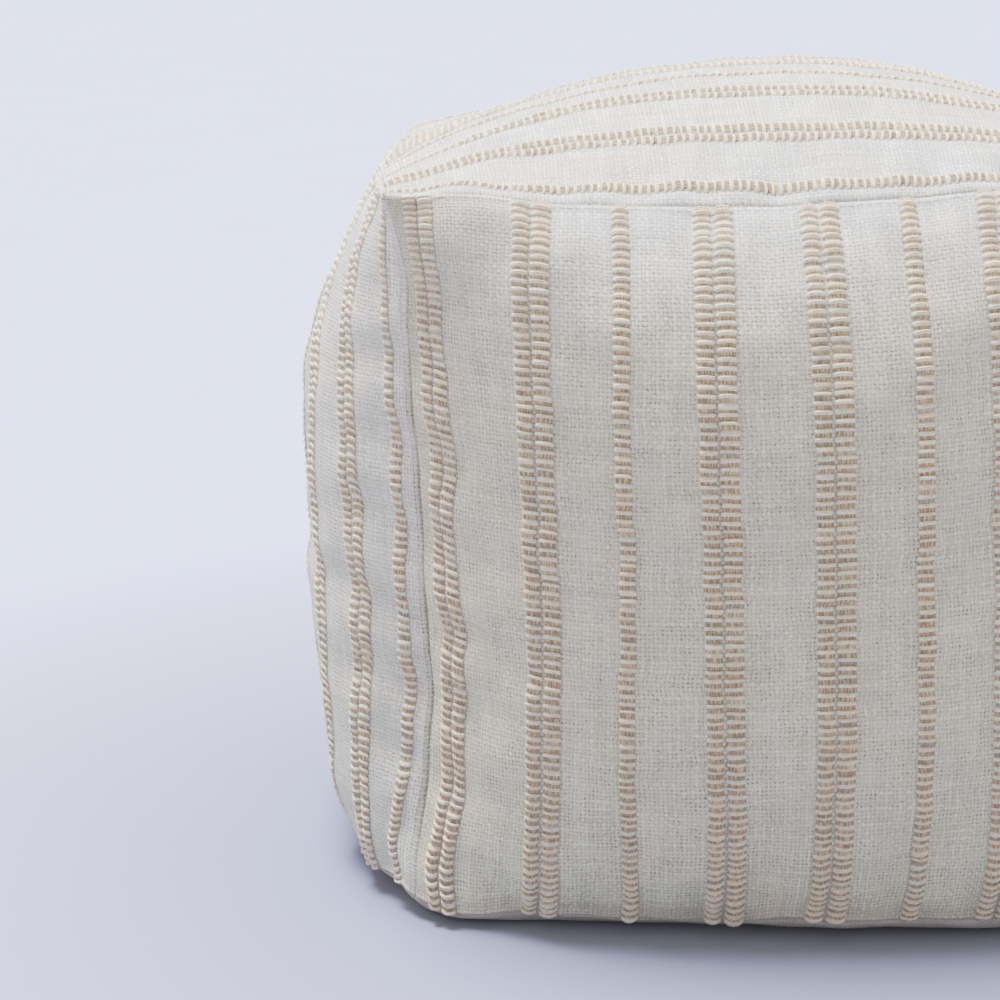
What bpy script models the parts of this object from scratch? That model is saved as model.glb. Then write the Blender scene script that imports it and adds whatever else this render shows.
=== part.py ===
"""A cube pouf stool: six cotton panels sewn edge to edge over a soft filling.

Each panel is one solid, with the share of the filling that lies behind it, so the six
together are one filled body. Its outer face is crowned between drawn-in seams, and the
corded stripes of the cloth stand up from it as ribs. The origin is the middle of the
base, on the floor. The front faces -Y. Lengths are in metres.
"""
import bpy
import bmesh
import numpy as np

# Corners and seams
TOP_CORNER = 0.205  # the top corners, out from the middle along X and along Y
TOP_CORNER_Z = 0.413
BASE_CORNER = 0.213
BASE_CORNER_Z = 0.011
EAR = 0.005  # how far the tip of a top corner stands out past its seams
EAR_POWER = 6  # higher is a shorter tip
TOP_SEAM_POWER = 1.7
BASE_SEAM_POWER = 5
UPRIGHT_SEAM_IN = 0.011  # each upright seam is drawn in, most below its middle
UPRIGHT_SEAM_POWER = 3
UPRIGHT_SEAM_LEAN = -0.33

# Bow of each top seam at its middle: outwards, and down
TOP_SEAM_BOW = {
    "panel_front": (0.010, 0.012),
    "panel_right": (0.018, 0.007),
    "panel_back": (0.010, 0.012),
    "panel_left": (0.021, 0.006),
}

# Bow of each base seam: outwards over the floor and how much more of it towards the right
# end, then upwards and how much more of that
BASE_SEAM_BOW = {
    "panel_front": (0.037, 0.012, -0.002, 0.005),
    "panel_right": (0.038, -0.006, 0.001, 0.002),
    "panel_back": (0.038, 0.003, 0.000, -0.003),
    "panel_left": (0.037, -0.004, 0.001, 0.001),
}

# Crown of each side: its rise, and the power of its fall towards the top and the base seam
SIDE_CROWN = {
    "panel_front": (0.055, 3.0, 3.8),
    "panel_right": (0.055, 2.6, 4.4),
    "panel_back": (0.055, 3.0, 3.8),
    "panel_left": (0.0535, 2.5, 4.5),
}
SIDE_CROWN_ACROSS = 3.6  # power of its fall towards the upright seams
SIDE_CROWN_LEAN = 0.2
TOP_CROWN = 0.0625
TOP_CROWN_ACROSS = 2.1  # power of its fall to the left and right
TOP_CROWN_BACK = 2.5  # power of its fall to the front and back
BASE_FLAT = 0.9  # share of the base that lies flat on the floor

# Corded stripes
CORD = 0.0095  # width of one cord
CORD_RISE = 0.0022
CORD_END = 0.025  # how near the seams, as a share of half the panel, a cord is full
VALLEY = 0.3  # height between the two cords of a pair, as a share of the rise
STRIPE_GATHER = 0.06  # stripes draw together towards the top seam
GATHER_FROM = 0.4  # height where that begins, from -1 at the base seam to 1 at the top

# Each stripe: one cord or a pair, and its place as a share of the cloth from seam to seam.
# Places run from left to right as a side is seen from outside, and front to back on top.
STRIPES = {
    "panel_front": (
        ("pair", 0.050), ("pair", 0.198), ("one", 0.307), ("pair", 0.418),
        ("pair", 0.546), ("one", 0.651), ("pair", 0.762), ("pair", 0.892),
    ),
    "panel_right": (
        ("pair", 0.090), ("one", 0.200), ("pair", 0.310), ("pair", 0.441),
        ("one", 0.550), ("pair", 0.660), ("pair", 0.791), ("one", 0.900),
    ),
    "panel_back": (
        ("one", 0.070), ("pair", 0.180), ("pair", 0.311), ("one", 0.420),
        ("pair", 0.530), ("pair", 0.661), ("one", 0.770), ("pair", 0.880),
    ),
    "panel_left": (
        ("pair", 0.140), ("one", 0.251), ("pair", 0.363), ("pair", 0.496),
        ("one", 0.608), ("pair", 0.719), ("pair", 0.852), ("one", 0.964),
    ),
    "panel_top": (
        ("one", 0.029), ("pair", 0.144), ("pair", 0.280), ("one", 0.388),
        ("pair", 0.497), ("pair", 0.628), ("one", 0.737), ("pair", 0.846),
    ),
}

# Faceting and fit
ROWS = 17  # rows of points along the stripes
BASE_ROWS = 21
BASE_RIM_ROWS = 3
ARC_STEPS = 400
GAP = 0.0003  # between neighbouring panels
PLAIN_STEP = 0.045  # widest plain cloth, as a share of the panel, between two columns
SLOPE_STEP = 1e-4  # between two points that give the cloth's slope
SHARP_ANGLE = 40  # degrees between two facets, where the shading breaks

UP = np.array([0.0, 0.0, 1.0])
OUTWARD = {
    "panel_front": np.array([0.0, -1.0, 0.0]),
    "panel_right": np.array([1.0, 0.0, 0.0]),
    "panel_back": np.array([0.0, 1.0, 0.0]),
    "panel_left": np.array([-1.0, 0.0, 0.0]),
    "panel_top": UP,
    "panel_base": -UP,
}
MIDDLE = UP * (TOP_CORNER_Z + BASE_CORNER_Z) / 2

CREAM = (0.80, 0.77, 0.72, 1.0)
ROUGHNESS = 0.9


def rightwards(out):
    """The way to the right along a side that is seen from outside."""
    return np.cross(UP, out)


def top_seam(side, t):
    """Points on the seam between the top panel and a side, left to right."""
    out = OUTWARD[side]
    outwards, down = TOP_SEAM_BOW[side]
    reach = TOP_CORNER + EAR
    line = out * reach + rightwards(out) * reach * t + UP * TOP_CORNER_Z
    bow = out * outwards - UP * down
    return line + bow * (1 - abs(t) ** TOP_SEAM_POWER) - out * EAR * (1 - t**EAR_POWER)


def base_seam(side, t):
    """Points on the seam between the base panel and a side, left to right."""
    out = OUTWARD[side]
    outwards, outwards_lean, upwards, upwards_lean = BASE_SEAM_BOW[side]
    line = (out + rightwards(out) * t) * BASE_CORNER + UP * BASE_CORNER_Z
    bow = out * (outwards + outwards_lean * t) + UP * (upwards + upwards_lean * t)
    return line + bow * (1 - abs(t) ** BASE_SEAM_POWER)


def upright_seam(diagonal, t):
    """Points on the seam between two sides, base to top. diagonal is (+-1, +-1, 0)."""
    low = diagonal * BASE_CORNER + UP * BASE_CORNER_Z
    high = diagonal * (TOP_CORNER + EAR) + UP * TOP_CORNER_Z
    drawn = UPRIGHT_SEAM_IN * (1 - abs(t) ** UPRIGHT_SEAM_POWER) * (1 + UPRIGHT_SEAM_LEAN * t)
    drawn = drawn + EAR * (1 + t) / 2 * (1 - np.maximum(t, 0) ** EAR_POWER)
    return low * (1 - t) / 2 + high * (1 + t) / 2 - diagonal * drawn


def between_seams(low, high, left, right, u, v):
    """The surface that spans four seams, each given as a function of its own -1 to 1."""
    ends = np.array([[-1.0], [1.0]])
    low_ends = low(ends)
    high_ends = high(ends)
    across = (1 - v) / 2 * low(u) + (1 + v) / 2 * high(u)
    along = (1 - u) / 2 * left(v) + (1 + u) / 2 * right(v)
    low_line = (1 - u) / 2 * low_ends[0] + (1 + u) / 2 * low_ends[1]
    high_line = (1 - u) / 2 * high_ends[0] + (1 + u) / 2 * high_ends[1]
    return across + along - (1 - v) / 2 * low_line - (1 + v) / 2 * high_line


def fall(t, power):
    """1 in the middle of a panel and 0 at its seams."""
    return 1 - abs(t) ** power


def side_surface(side, u, v):
    """Points on a side panel. u runs left to right and v base to top, from -1 to 1."""
    out = OUTWARD[side]
    sideways = rightwards(out)
    cloth = between_seams(
        lambda t: base_seam(side, t),
        lambda t: top_seam(side, t),
        lambda t: upright_seam(out - sideways, t),
        lambda t: upright_seam(out + sideways, t),
        u,
        v,
    )
    rise, power_up, power_down = SIDE_CROWN[side]
    crown = rise * (1 + SIDE_CROWN_LEAN * v) * fall(u, SIDE_CROWN_ACROSS)
    return cloth + out * crown * fall(v, np.where(v > 0, power_up, power_down))


def level_seams(seam):
    """The four seams round the top or the base, all in the directions of +X and +Y."""
    return (
        lambda t: seam("panel_front", t),
        lambda t: seam("panel_back", -t),
        lambda t: seam("panel_left", -t),
        lambda t: seam("panel_right", t),
    )


def top_surface(u, v):
    """Points on the top panel. u runs along +X and v along +Y, from -1 to 1."""
    cloth = between_seams(*level_seams(top_seam), u, v)
    return cloth + UP * TOP_CROWN * fall(u, TOP_CROWN_ACROSS) * fall(v, TOP_CROWN_BACK)


def base_surface(u, v):
    """Points on the base: flat on the floor, and rounded up to its seams."""
    cloth = between_seams(*level_seams(base_seam), u, v)
    edge_u = np.clip((abs(u) - BASE_FLAT) / (1 - BASE_FLAT), 0, 1)
    edge_v = np.clip((abs(v) - BASE_FLAT) / (1 - BASE_FLAT), 0, 1)
    lift = 1 - (1 - edge_u**2) * (1 - edge_v**2)
    cloth[..., 2:] = GAP + (cloth[..., 2:] - GAP) * lift
    return cloth


def surface(name, u, v):
    """Points on a panel's plain cloth, for arrays u and v of shape (..., 1)."""
    if name == "panel_top":
        return top_surface(u, v)
    if name == "panel_base":
        return base_surface(u, v)
    return side_surface(name, u, v)


def cloth_length(name, steps, crosswise):
    """Length of cloth from the first seam to each step, along a panel's middle."""
    t = steps[:, None]
    still = np.zeros_like(t)
    path = surface(name, t, still) if crosswise else surface(name, still, t)
    return np.concatenate([[0.0], np.cumsum(np.linalg.norm(np.diff(path, axis=0), axis=1))])


def stripe_profile(kind, width):
    """(offset, height) of a stripe's section, as shares of the panel and of the rise."""
    if kind == "one":
        return [(-width / 2, 0), (-width / 4, 1), (width / 4, 1), (width / 2, 0)]
    return [(-width, 0), (-width / 2, 1), (0, VALLEY), (width / 2, 1), (width, 0)]


def columns(name, total):
    """(place, height) for each column of points across a panel, seam to seam."""
    found = [(0.0, 0.0)]
    for kind, place in STRIPES[name]:
        profile = [(place + offset, height) for offset, height in stripe_profile(kind, CORD / total)]
        found += plain_columns(found[-1][0], profile[0][0]) + profile
    return found + plain_columns(found[-1][0], 1.0) + [(1.0, 0.0)]


def plain_columns(start, end):
    """Evenly spaced columns on the plain cloth between two places, without its ends."""
    count = int(np.ceil((end - start) / PLAIN_STEP)) + 1
    return [(place, 0.0) for place in np.linspace(start, end, count)[1:-1]]


def row_places():
    """Rows from seam to seam, closer near the seams, where the cloth turns most."""
    even = np.linspace(-1, 1, ROWS - 2)
    eased = (even + np.sin(even * np.pi / 2)) / 2 * (1 - CORD_END)
    return np.concatenate([[-1.0], eased, [1.0]])


def gathered(across, along):
    """The stripes' places drawn together towards the top seam."""
    near = np.clip((along - GATHER_FROM) / (1 - GATHER_FROM), 0, 1)
    return across - STRIPE_GATHER * near**2 * across * (1 - across**2)


def ribbed_points(name):
    """Points of a striped panel, [across the stripes, along the stripes]."""
    crosswise = name != "panel_top"
    steps = np.linspace(-1, 1, ARC_STEPS)
    lengths = cloth_length(name, steps, crosswise)
    table = np.array(columns(name, lengths[-1]))
    places = np.interp(table[:, 0] * lengths[-1], lengths, steps)
    along = row_places()[None, :, None]
    across = places[:, None, None] + 0 * along
    along = along + 0 * across
    if crosswise:
        across = gathered(across, along)
    u, v = (across, along) if crosswise else (along, across)
    edge = np.clip((1 - abs(along)) / CORD_END, 0, 1)
    rise = CORD_RISE * table[:, 1][:, None, None] * edge
    inner = 1 - 2 * SLOPE_STEP
    u_in, v_in = u * inner, v * inner
    slope_u = surface(name, u_in + SLOPE_STEP, v_in) - surface(name, u_in - SLOPE_STEP, v_in)
    slope_v = surface(name, u_in, v_in + SLOPE_STEP) - surface(name, u_in, v_in - SLOPE_STEP)
    normal = np.cross(slope_u, slope_v)
    normal /= np.linalg.norm(normal, axis=-1, keepdims=True)
    points = surface(name, u, v) + normal * rise
    return points if crosswise else points.swapaxes(0, 1)


def base_points():
    """Points of the base, with a row exactly where its flat part ends."""
    flat = np.linspace(-BASE_FLAT, BASE_FLAT, BASE_ROWS)
    rim = np.linspace(BASE_FLAT, 1, BASE_RIM_ROWS + 1)[1:]
    places = np.concatenate([-rim[::-1], flat, rim])
    v, u = np.meshgrid(places, places)
    return base_surface(u[..., None], v[..., None])


def cotton(name):
    material = bpy.data.materials.new(name)
    material.use_nodes = True
    shader = material.node_tree.nodes["Principled BSDF"]
    shader.inputs["Base Color"].default_value = CREAM
    shader.inputs["Roughness"].default_value = ROUGHNESS
    shader.inputs["Metallic"].default_value = 0.0
    return material


def add_panel(name, points, collection):
    """A panel and the filling behind it: a grid shaped to points, closed at the middle."""
    count_u, count_v = points.shape[:2]
    mesh = bpy.data.meshes.new(name)
    shape = bmesh.new()
    bmesh.ops.create_grid(shape, x_segments=count_u - 1, y_segments=count_v - 1, size=1)
    for vertex in shape.verts:
        i = round((vertex.co.x + 1) / 2 * (count_u - 1))
        j = round((vertex.co.y + 1) / 2 * (count_v - 1))
        vertex.co = points[i, j]
    rim = [edge for edge in shape.edges if edge.is_boundary]
    grown = bmesh.ops.extrude_edge_only(shape, edges=rim)["geom"]
    inner = [item for item in grown if isinstance(item, bmesh.types.BMVert)]
    bmesh.ops.pointmerge(shape, verts=inner, merge_co=MIDDLE)
    bmesh.ops.triangulate(shape, faces=shape.faces)
    bmesh.ops.recalc_face_normals(shape, faces=shape.faces)
    shape.to_mesh(mesh)
    shape.free()
    panel = bpy.data.objects.new(name, mesh)
    panel.location = OUTWARD[name] * GAP
    mesh.materials.append(cotton(name + "_cotton"))
    mesh.shade_smooth()
    mesh.set_sharp_from_angle(angle=np.radians(SHARP_ANGLE))
    collection.objects.link(panel)


def main():
    for old in list(bpy.data.objects):
        bpy.data.objects.remove(old)
    collection = bpy.data.collections.new("cube_pouf_stool")
    bpy.context.scene.collection.children.link(collection)
    for name in STRIPES:
        add_panel(name, ribbed_points(name), collection)
    add_panel("panel_base", base_points(), collection)


main()
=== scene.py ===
"""The looks of the cube pouf stool: six cotton panels with corded stripes, over a soft filling.

Each panel is one closed piece: a fine grid of cloth with its woven cords, turned in at the
seams and closed behind. u runs left to right and v base to top as a side is seen from
outside, from -1 to 1. On the top panel u runs along +X and v along +Y. Lengths are in metres.
"""
import math

import bpy
import numpy as np
from mathutils import Matrix, Vector


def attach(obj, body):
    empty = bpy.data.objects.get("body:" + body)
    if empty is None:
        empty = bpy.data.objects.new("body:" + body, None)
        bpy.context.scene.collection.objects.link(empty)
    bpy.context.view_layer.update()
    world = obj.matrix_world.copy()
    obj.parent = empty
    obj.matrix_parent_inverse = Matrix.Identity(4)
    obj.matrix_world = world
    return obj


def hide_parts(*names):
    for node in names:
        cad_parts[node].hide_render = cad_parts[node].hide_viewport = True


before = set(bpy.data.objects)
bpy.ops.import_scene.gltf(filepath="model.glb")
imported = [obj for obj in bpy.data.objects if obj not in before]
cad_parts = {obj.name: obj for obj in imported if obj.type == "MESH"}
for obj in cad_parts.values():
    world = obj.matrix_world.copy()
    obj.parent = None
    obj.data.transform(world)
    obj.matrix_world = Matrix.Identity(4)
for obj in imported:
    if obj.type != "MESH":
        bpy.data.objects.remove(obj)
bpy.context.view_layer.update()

# -------- sizes shared with the solids
TOP_CORNER = 0.205  # how far from the middle the top's sewn corners are, along X and Y
TOP_CORNER_Z = 0.413
BASE_CORNER = 0.213
BASE_CORNER_Z = 0.011
EAR = 0.005  # how much further out the tips of the top's corners are
EAR_POWER = 6
TOP_SEAM_POWER = 1.7
BASE_SEAM_POWER = 5
UPRIGHT_SEAM_IN = 0.011
UPRIGHT_SEAM_POWER = 3
UPRIGHT_SEAM_LEAN = -0.33
TOP_SEAM_BOW = {  # outwards, down
    "panel_front": (0.010, 0.012),
    "panel_right": (0.018, 0.007),
    "panel_back": (0.010, 0.012),
    "panel_left": (0.021, 0.006),
}
BASE_SEAM_BOW = {  # outwards and its lean to the right, upwards and its lean to the right
    "panel_front": (0.037, 0.012, -0.002, 0.005),
    "panel_right": (0.038, -0.006, 0.001, 0.002),
    "panel_back": (0.038, 0.003, 0.000, -0.003),
    "panel_left": (0.037, -0.004, 0.001, 0.001),
}
SIDE_CROWN = {  # rise, the power of its fall upwards (higher than in the front's solid), and downwards
    "panel_front": (0.055, 4.3, 3.8),
    "panel_right": (0.055, 2.6, 4.4),
    "panel_back": (0.055, 3.0, 3.8),
    "panel_left": (0.0535, 2.5, 4.5),
}
SIDE_CROWN_ACROSS = 3.6
SIDE_CROWN_LEAN = 0.2
TOP_CROWN = 0.0625
TOP_CROWN_ACROSS = 2.1
TOP_CROWN_BACK = 2.5
BASE_FLAT = 0.9
CORD = 0.0095  # width of a cord
STRIPE_GATHER = 0.06  # how much a side's stripes draw together towards its top seam
GATHER_FROM = 0.4  # the v from which they do
STRIPES = {  # one cord or a pair, and how far across the panel's cloth its middle lies
    "panel_front": (
        ("pair", 0.050), ("pair", 0.198), ("one", 0.307), ("pair", 0.418),
        ("pair", 0.546), ("one", 0.651), ("pair", 0.762), ("pair", 0.892),
    ),
    "panel_right": (
        ("pair", 0.090), ("one", 0.200), ("pair", 0.310), ("pair", 0.441),
        ("one", 0.550), ("pair", 0.660), ("pair", 0.791), ("one", 0.900),
    ),
    "panel_back": (
        ("one", 0.070), ("pair", 0.180), ("pair", 0.311), ("one", 0.420),
        ("pair", 0.530), ("pair", 0.661), ("one", 0.770), ("pair", 0.880),
    ),
    "panel_left": (
        ("pair", 0.140), ("one", 0.251), ("pair", 0.363), ("pair", 0.496),
        ("one", 0.608), ("pair", 0.719), ("pair", 0.852), ("one", 0.964),
    ),
    "panel_top": (
        ("one", 0.029), ("pair", 0.144), ("pair", 0.280), ("one", 0.388),
        ("pair", 0.497), ("pair", 0.628), ("one", 0.737), ("pair", 0.846),
    ),
}
GAP = 0.0003  # how far each panel is moved outwards, to stay clear of its neighbours

TINY = 1e-12  # keeps a division from failing where a length is nothing
AT_EDGE = 1e-6  # how near an edge counts as on it
UP = np.array([0.0, 0.0, 1.0])
OUTWARD = {
    "panel_front": np.array([0.0, -1.0, 0.0]),
    "panel_right": np.array([1.0, 0.0, 0.0]),
    "panel_back": np.array([0.0, 1.0, 0.0]),
    "panel_left": np.array([-1.0, 0.0, 0.0]),
    "panel_top": UP,
    "panel_base": -UP,
}
MIDDLE = UP * (TOP_CORNER_Z + BASE_CORNER_Z) / 2
HALF_SIDE = (TOP_CORNER + BASE_CORNER) / 2

# -------- the plain cloth
LENGTH_STEPS = 600  # over which lengths of cloth are added up
PLAIN_STEP = 0.0095  # the widest step between columns of plain cloth
CORD_MARGIN = 0.0006  # of plain cloth beside a cord, that keeps the shading of its edge off the rest
LEAST_STEP = 0.0005  # between the last cord and the columns next to its seam
EDGE_STEPS = (0.0, 0.0007, 0.0016, 0.0029, 0.0046, 0.0070)  # columns next to a seam
TUCK = 0.005  # cloth turned in behind a seam
SEAM_DIP, DIP_WIDTH = 0.0014, 0.0012
SEAM_RIDGE, RIDGE_AT, RIDGE_WIDTH = 0.0010, 0.0031, 0.0016
TOP_SINK, SINK_WIDTH = 0.0016, 0.005  # the top panel's slope down into its seams
WEAVE_SHADE = {"panel_front": 1.0, "panel_left": 1.0, "panel_top": 0.5}  # of the weave's holes and the lines between its threads: how strong their painted shade is on each panel
USUAL_WEAVE_SHADE = 0.85
TOP_WEAVE_LIGHT = 0.65  # how much less painted shade the sides' weave has beside the top seam, where they are painted lit
SHADE_WARMTH = {"panel_left": 0.5, "panel_top": 0.0}  # of the plain cloth's colour: painted warm shade, so the sides are painted warmer than the lit top, and the left, lit from its side, half as warm
USUAL_SHADE_WARMTH = 1.0
TOP_LIGHT_REACH = 0.065  # how far down from the top seam the painted light on the sides reaches; below it their cloth turns to its painted warm shade, with more painted shade in its weave
TOP_LIGHT_MARGIN = 0.11  # how far in from the upright seams the cloth turns to that painted light, cooler and with less shade in its weave, beside the top seam
BASE_THREAD = (1.0, 0.9, 0.5)  # of the base panel, as in build_striped

# -------- the cords and their bars
BAR_PERIOD = 0.0047  # one cream and one tan bar along a cord
CORD_COLUMNS = (-1.0, -0.86, -0.48, 0.0, 0.48, 0.86, 1.0)  # across a cord
PAIR_CORDS = ((-1.08, -0.03), (0.02, 1.17))  # from and to of a pair's two cords, in cord widths
# the rows of a bar, and where in its tan and its cream half they lie, from 0 to 1
BAR_ROWS = ((0.06, "tan"), (0.94, "tan"), (0.10, "cream"), (0.50, "cream"), (0.90, "cream"))
END_MARGIN = 0.0006  # how near its seams a row of a bar may come
ROW_STEP = 1e-7  # the least step between rows
TAN_SHARE = 0.54  # of a bar's period
TAN_SHARE_TOP = 0.44  # the same beside the top seam
TAN_SHARE_BASE = 0.34  # the same beside the base seam
SHARE_SPREAD = 0.06  # how much it varies
SHARE_LIMITS = (0.30, 0.70)
TAN_STRENGTH = {  # how strong the tan is on each stripe, where it isn't whole
    "panel_left": (0.8, 0.8, 0.8, 0.8, 0.8, 0.85, 0.9, 0.95),
    "panel_top": (0.95, 1.00, 0.90, 0.75, 0.65, 0.60, 0.60, 0.60),
}
STRENGTH_SPREAD = 0.3  # how much weaker a bar is at the most
STRENGTH_POWER = 4  # the higher it is, the fewer bars are weak
TOP_PALENESS = 0.50  # how much paler the tan is painted beside the top seam, as painted light from above
TOP_REACH = 0.075  # how far down that fades
TINT = {"panel_left": 0.50, "panel_top": 0.08}  # of the cords' colours, from cool to warm
USUAL_TINT = 0.60
TINT_SPREAD = 0.16
TAN_RISE = 0.0013
CREAM_RISE = 0.0030
CREAM_VALLEY = 0.52  # how high a cream bar still is where it meets the tan
FLATNESS = {"panel_top": 0.35, "panel_left": 0.25}  # how much flatter the cords are than elsewhere
RISE_SPREAD = 0.10  # how much a bar's rise varies
BASE_FULLNESS = 0.45  # how much fuller the cords are beside the base seam
BASE_REACH = 0.034  # how far up that fades
TIP = 0.0045  # length over which a cord rounds off at a seam, like a fingertip
TAN_NARROW = 0.10  # how much narrower than its cord a tan bar is
WIDTH_SPREAD = 0.025  # how much a bar's width varies
STAGGER = {"panel_left": 0.5, "panel_right": 0.4, "panel_back": 0.2, "panel_top": 0.1}  # of a bar
STAGGER_FADE = 0.02
BAR_SHIFT = 0.06  # of its period, how far a bar strays along its cord
CORD_SHIFT = 0.2  # how far all of a cord's bars do at the most
BAR_SLANT = 0.04  # how far a bar's sides slant apart
EDGE_HOLD = 0.7  # how much less a bar strays at its cord's edges
EDGE_HOLD_POWER = 4
ARC_TOP = 0.15  # of a bar's period, how far bars arch upwards beside the top seam
ARC_BASE = 0.42  # how far they sag in their middle towards the base seam
ARC_REACH = 0.09  # how far up that fades
ARC_FADE = 0.008  # over which they straighten again at a seam
CORD_START = 3  # how sharply the cord's colour starts at its edge

# -------- how the cloth lies
HEIGHTS = (-1.0, -0.9, -0.7, -0.4, -0.15, -0.02, 0.4, 0.8, 1.0)  # v on a side, u on the top
SWAY = {  # how far each stripe strays at those heights, in mm to the right, or back on the top
    "panel_front": (
        (4, -2, 0, -1, 1, -2, 0, -5, 0),
        (0, -1, -3, -3, -2, -2, -2, -1, 2),
        (1, 0, -3, -4, -3, -2, -3, -1, 0),
        (-1, -1, -1, -2, -2, -2, -3, -3, -2),
        (-8, -5, -3, -1, -1, -1, -1, -3, -4),
        (-12, -8, -4, -1, -1, -1, -1, -3, -4),
        (-19, -14, -8, -5, -4, -4, -5, -8, -9),
        (-12, -8, -4, -2, -2, -2, -2, -4, -4),
    ),
    "panel_right": (
        (3, 2, 1, 0, 1, 1, 2, 1, 0),
        (5, 3, 1, 0, 0, 1, 1, 1, 1),
        (4, 3, 0, -1, -1, 0, 1, 2, 1),
        (2, 1, 0, 0, 1, 1, 2, 2, 3),
        (0, 0, -1, -2, -1, -1, 0, 1, 2),
        (-3, -2, -1, 0, 1, 0, -1, -1, 0),
        (-5, -4, -2, -1, -1, -2, -2, -1, -2),
        (-4, -4, -3, -1, 0, -1, -2, -3, -2),
    ),
    "panel_back": (
        (3, 3, 2, 0, -1, 0, 1, 2, 1),
        (5, 4, 1, 0, 1, 1, 0, -1, 0),
        (3, 2, 0, -1, -1, 0, 1, 2, 2),
        (1, 1, 2, 2, 1, 1, 0, 0, 1),
        (-1, 0, 1, 1, 0, -1, -2, -1, 0),
        (-3, -3, -1, 0, 0, -1, -1, -2, -1),
        (-6, -5, -2, 0, 1, 0, -1, -2, -3),
        (-5, -4, -3, -2, -1, -1, -2, -3, -2),
    ),
    "panel_left": (
        (2, 2, 1, 0, -1, 0, 1, 1, 0),
        (3, 2, 0, 0, 1, 1, 2, 1, 1),
        (1, 0, -1, -1, 0, 0, 1, 2, 3),
        (0, -1, -1, 0, 1, 2, 2, 1, 0),
        (-2, 0, 2, 3, 2, 1, 0, 0, 0),
        (-2, 8, 16, 17, 12, 5, -3, -24, -10),
        (4, 7, 10, 13, 13, 10, 1, -16, -8),
        (-5, -9, -1, 1, 0, 0, -1, -12, -14),
    ),
    "panel_top": (
        (0, 0, 0, 2, 2, 1, 0, 0, 0),
        (0, 1, 6, 5, 2, 1, 0, -1, -2),
        (-6, -5, 3, 9, 3, 2, 1, -2, -2),
        (0, 1, 2, 4, 3, 1, -1, -1, 0),
        (0, 0, 2, 7, 5, 2, 1, 1, 1),
        (1, 1, 0, -1, -1, 0, 1, 0, -1),
        (0, -1, -1, 0, 1, 1, 1, 0, 0),
        (-1, -1, 0, 1, 1, 0, 0, -1, -1),
    ),
}
WOBBLE = 0.0003  # how far each stripe's small waves stray
WOBBLE_LENGTHS = (0.019, 0.031, 0.055)
PUSHES = (  # a point or a line's ends, the radius of what moves with it, and the push, in mm
    (((-217, 120, 415),), 55, (-6, 0, 1)),
    (((-238, -28, 381),), 32, (6, 0, 0)),
    (((-268, -48, 303),), 40, (-4.5, 0, 0)),
    (((-275, -67, 168),), 26, (-3.5, 0, 0)),
    (((-273, -80, 100),), 26, (2.5, 0, 0)),
    (((-256, -122, 40),), 36, (-2.5, 0, 0)),
    (((-243, 21, 375),), 18, (4, 0, 0)),
    (((-222, -192, 6),), 30, (4, 3, 3)),
    (((-110, -242, 6),), 62, (0, 3, 4)),
    (((-200, -232, 8), (-195, -234, 8)), 22, (0, 0, -3)),
    (((-160, -244, 6), (-152, -244, 6)), 17, (0, 4, 2)),
    (((10, -246, 6), (240, -240, 6)), 45, (0, -3, 3)),
    (((0, -250, 2), (230, -244, 2)), 15, (0, -7, 0)),
    (((-165, -232, 400), (-120, -238, 398)), 28, (0, -6.5, 1.5)),
    (((-236, -72, 387),), 11, (3.5, 0, 0)),
    (((-2, -250, 18), (10, -250, 18)), 12, (0, 0, 4)),
    (((180, 40, 436),), 42, (0, 0, -5)),
    (((-160, 80, 431),), 45, (0, 0, -4)),
    (((50, 50, 455),), 95, (0, 0, 3.5)),
    (((-165, -210, 409),), 30, (0, 0, 3)),
    (((-203, -203, 372),), 28, (3, 0, 0)),
    (((-198, -208, 378),), 32, (0, -7, 0)),
    (((-199, -199, 305),), 28, (-2, 0, 0)),
    (((-199, -199, 130),), 40, (2.5, 0, 0)),
    (((-207, -207, 38),), 22, (-2, 0, 0)),
)
WAVES = (  # the cloth's own unevenness: a wave's lengths along X, Y and Z, and its height, in mm
    ((61, 73, 47), 0.35),
    ((39, -44, 58), 0.30),
    ((-97, 66, 83), 0.45),
)
CREASES = {  # two ends as (u, v), half width and depth in metres
    "panel_left": (((-0.70, -0.02), (0.93, -0.17), 0.011, 0.0022),),
    "panel_front": (((-0.97, -0.17), (-0.72, -0.20), 0.010, 0.0014),),
}
CREASE_FADE = 0.06  # of u and v, over which creases end at the seams
BASE_BLEND = 0.004  # of rise from the floor, over which the base panel joins its pushed rim
BASE_COLUMNS = 60  # of the base panel's flat part, and of its rim on each side
BASE_RIM_COLUMNS = 13


# -------- the shape of the pouf
def rightwards(out):
    """The way to the right along a side that is seen from outside."""
    return np.cross(UP, out)


def fall(t, power):
    """1 in the middle and 0 at both ends."""
    return 1 - abs(t) ** power


def top_seam(side, t):
    out = OUTWARD[side]
    outwards, down = TOP_SEAM_BOW[side]
    reach = TOP_CORNER + EAR
    line = out * reach + rightwards(out) * reach * t + UP * TOP_CORNER_Z
    bow = out * outwards - UP * down
    return line + bow * fall(t, TOP_SEAM_POWER) - out * EAR * fall(t, EAR_POWER)


def base_seam(side, t):
    out = OUTWARD[side]
    outwards, outwards_lean, upwards, upwards_lean = BASE_SEAM_BOW[side]
    line = (out + rightwards(out) * t) * BASE_CORNER + UP * BASE_CORNER_Z
    bow = out * (outwards + outwards_lean * t) + UP * (upwards + upwards_lean * t)
    return line + bow * fall(t, BASE_SEAM_POWER)


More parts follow.
